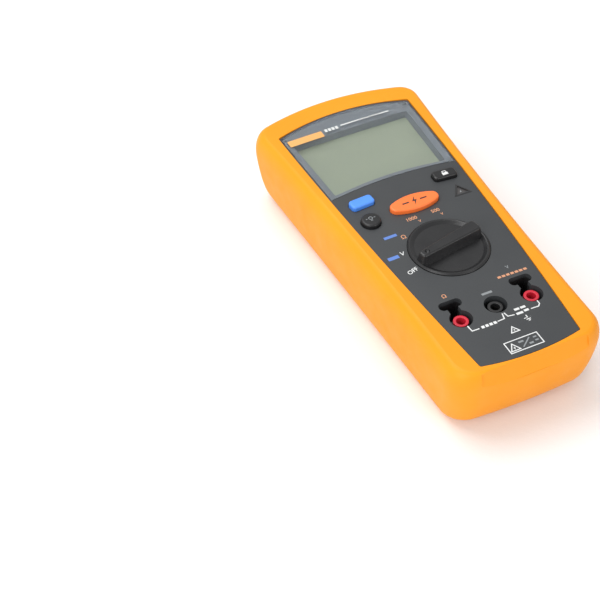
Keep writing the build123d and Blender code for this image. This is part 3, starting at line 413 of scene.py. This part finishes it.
def make_prints():
    white = printed("white_ink", (0.80, 0.81, 0.80), (0.52, 0.53, 0.53))
    tan = printed("tan_ink", (0.74, 0.33, 0.17), (0.50, 0.25, 0.15))
    blue = printed("blue_ink", (0.10, 0.22, 0.62), (0.10, 0.17, 0.42))
    grey = printed("grey_ink", (0.26, 0.28, 0.29), (0.18, 0.19, 0.20))
    dark = printed("dark_ink", (0.035, 0.02, 0.015), (0.05, 0.03, 0.02))
    black = printed("black_ink", (0.008, 0.008, 0.009), (0.015, 0.015, 0.016))
    plate = printed("plate_ink", (0.80, 0.42, 0.13), (0.70, 0.34, 0.10))
    border = moulded("border_ink", MASK_GREY, MASK_GREY_LIGHT, (0.3, 0.4), 3000, 0.000004)
    dial = tuple(KNOB_CENTRE[:2])
    common = tuple(SOCKETS["socket_common"][:2])
    left = tuple(SOCKETS["socket_left"][:2])
    right = tuple(SOCKETS["socket_right"][:2])

    # dial: rest position, volts, ohms, and the two test voltages
    make_print("dial_white_print", "meter", "front_case", white, [], [
        ("OFF", (-22.9, -6.6), 3.3, 14),
        ("V", (-21.7, 5.6), 3.5, -8),
    ], dial)
    make_print("dial_tan_print", "meter", "front_case", tan, [], [
        ("\u03a9", (-15.7, 15.4), 3.5, 0),
        ("1000", (-6.2, 25.0), 3.0, 0),
        ("V", (-3.2, 21.9), 2.2, 0),
        ("500", (7.0, 25.2), 3.0, 0),
        ("V", (8.8, 21.8), 2.2, 0),
    ], dial)
    make_print("dial_blue_print", "meter", "front_case", blue,
               bar(-24.6, -17.9, 18.4, 1.7) + bar(-29.6, -24.0, 5.0, 2.1), [], dial)

    # sockets: brackets between them, bars for their ratings, earth sign and hazard signs
    brackets = stroke([(-18.4, -6.4), (-18.0, -9.9), (-14.4, -10.0)], 0.55)
    brackets += stroke([(-4.8, -9.8), (-1.2, -9.6), (-0.5, -6.4)], 0.55)
    brackets += stroke([(0.5, -6.4), (1.0, -9.0), (4.2, -9.5)], 0.55)
    brackets += stroke([(12.9, -9.4), (16.9, -9.5), (18.2, -8.2), (18.1, -6.2)], 0.55)
    brackets += [outline for x in (-13.2, -11.1, -9.0, -6.9) for outline in bar(x, x + 1.5, -9.9, 1.5)]
    brackets += bar(5.6, 8.2, -6.9, 1.3) + bar(8.8, 11.4, -6.9, 1.3)
    brackets += bar(5.2, 8.6, -9.6, 1.3) + bar(9.4, 11.8, -9.2, 1.3)
    earth = stroke([(8.6, -11.8), (8.6, -13.4)], 0.5)
    earth += bar(6.8, 10.4, -13.5, 0.5) + bar(7.5, 9.7, -14.4, 0.5) + bar(8.1, 9.1, -15.3, 0.5)
    signs = stroke(triangle(-0.9, -18.8, 4.2, 3.4), 0.5, True) + bolt(-0.9, -17.6, 2.0)
    frame_corners = [(-9.6, -29.6), (7.2, -29.6), (7.2, -22.9), (-9.6, -22.9)]
    signs += stroke(frame_corners, 0.5, True)
    signs += stroke(triangle(-6.6, -28.6, 4.6, 4.1), 0.5, True) + bolt(-6.6, -27.2, 2.3)
    make_print("socket_white_print", "meter", "front_case", white, brackets + earth + signs, [], common)
    crossed = stroke([(-2.6, -28.3), (2.6, -24.2)], 0.6) + bar(-3.4, -0.8, -25.0, 1.0)
    crossed += bar(0.9, 3.0, -27.6, 1.0) + bar(4.2, 5.9, -25.0, 0.8) + bar(4.2, 5.9, -27.0, 0.8)
    make_print("sign_grey_print", "meter", "front_case", grey, crossed + bar(-2.6, 2.8, 7.9, 1.3), [], common)
    make_print("left_socket_print", "meter", "front_case", tan, [], [("\u03a9", (0.1, 15.6), 3.1, 0)], left)
    make_print("right_socket_print", "meter", "front_case", tan,
               [outline for step in range(7)
                for outline in bar(-8.8 + 2.3 * step, -7.1 + 2.3 * step, 15.2, 1.3)],
               [], right)
    make_print("right_volt_print", "meter", "front_case", grey, [], [("V", (-1.0, 19.6), 2.8, 0)], right)

    # hazard light: dark frame round the window and a bolt on the window
    low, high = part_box("hazard_lens")
    hazard = ((low[0] + high[0]) / 2, (low[1] + high[1]) / 2)
    make_print("hazard_frame_print", "meter", "front_case", black,
               stroke(triangle(0, -2.85, 8.4, 7.0), 0.9, True), [], hazard)
    make_print("hazard_sign_print", "meter", "hazard_lens", grey, bolt(0, -0.7, 3.0), [], hazard)

    # display heading: a plain plate and plain rules
    make_print("heading_plate_print", "meter", "display_lens", plate, bar(-34.2, -15.2, 77.6, 4.6), [])
    heading = []
    for step in range(4):
        heading += bar(-13.4 + 2 * step, -12.0 + 2 * step, 79.0, 2.2)
    make_print("heading_rule_print", "meter", "display_lens", white, heading + bar(-4.2, 23.6, 79.6, 0.8), [])

    # key signs: bolt on the test key, padlock, lamp
    for node, body, ink, outlines in (
        ("test_key", "test_button", dark,
         bolt(0, 0.1, 5.6) + bar(-6.6, -3.0, 0, 0.9) + bar(3.0, 6.6, 0, 0.9)),
        ("lock_key", "lock_button", white,
         bar(-1.5, 1.5, -0.8, 1.7) + stroke([(-0.9, 0), (-0.9, 1.1), (0.9, 1.1), (0.9, 0)], 0.35)),
        ("backlight_key", "backlight_button", grey,
         ring(0, 0.6, 0.9, 0.35) + bar(-0.5, 0.5, -1.0, 0.4)
         + bar(-2.5, -1.6, 0.6, 0.35) + bar(1.6, 2.5, 0.6, 0.35)),
    ):
        low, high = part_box(node)
        middle = ((low[0] + high[0]) / 2, (low[1] + high[1]) / 2)
        make_print(node + "_print", body, node, ink, outlines, [], middle)
    make_lens_border(border)


# ---------------------------------------------------------------- camera, light and floor
def make_camera():
    camera = bpy.data.objects.new("camera", bpy.data.cameras.new("camera"))
    bpy.context.collection.objects.link(camera)
    camera.data.sensor_width = 36
    camera.data.lens = 96
    camera.location = (-0.3047, -0.4858, 0.5527)
    forward = Vector((0.3123, 0.6361, -0.7055))
    camera.rotation_euler = forward.to_track_quat("-Z", "Y").to_euler()
    bpy.context.scene.camera = camera


def make_light(name, place, size, power, target=(0, 0, 0.02), colour=(1, 1, 1)):
    light = bpy.data.lights.new(name, "AREA")
    light.shape = "RECTANGLE"
    light.size, light.size_y = size
    light.energy = power
    light.color = colour
    lamp = bpy.data.objects.new(name, light)
    lamp.location = place
    lamp.rotation_euler = (Vector(target) - Vector(place)).to_track_quat("-Z", "Y").to_euler()
    bpy.context.collection.objects.link(lamp)


def make_stage():
    bpy.ops.mesh.primitive_plane_add(size=6, location=(0, 0, CAD_BOUNDS[0][2] - 0.0002))
    floor = bpy.context.object
    floor.name = "floor"
    paper = Shader("floor_paper", (0.86, 0.86, 0.86), 0.75)
    paper.bump(paper.noise(300, 3), 0.0001)
    floor.data.materials.append(paper.material)
    world = bpy.data.worlds.new("studio")
    world.use_nodes = True
    world.node_tree.nodes["Background"].inputs["Color"].default_value = (1, 1, 1, 1)
    world.node_tree.nodes["Background"].inputs["Strength"].default_value = 0.6
    bpy.context.scene.world = world
    make_light("top_softbox", (-0.25, 0.35, 0.9), (0.9, 0.7), 7.5)
    make_light("left_softbox", (-0.9, -0.5, 0.55), (0.7, 0.7), 6.0)
    make_light("front_fill", (0.4, -0.9, 0.35), (0.6, 0.4), 2.5)


make_camera()
bpy.context.scene.view_settings.view_transform = "Standard"
make_stage()
finish_all(make_materials())
make_prints()
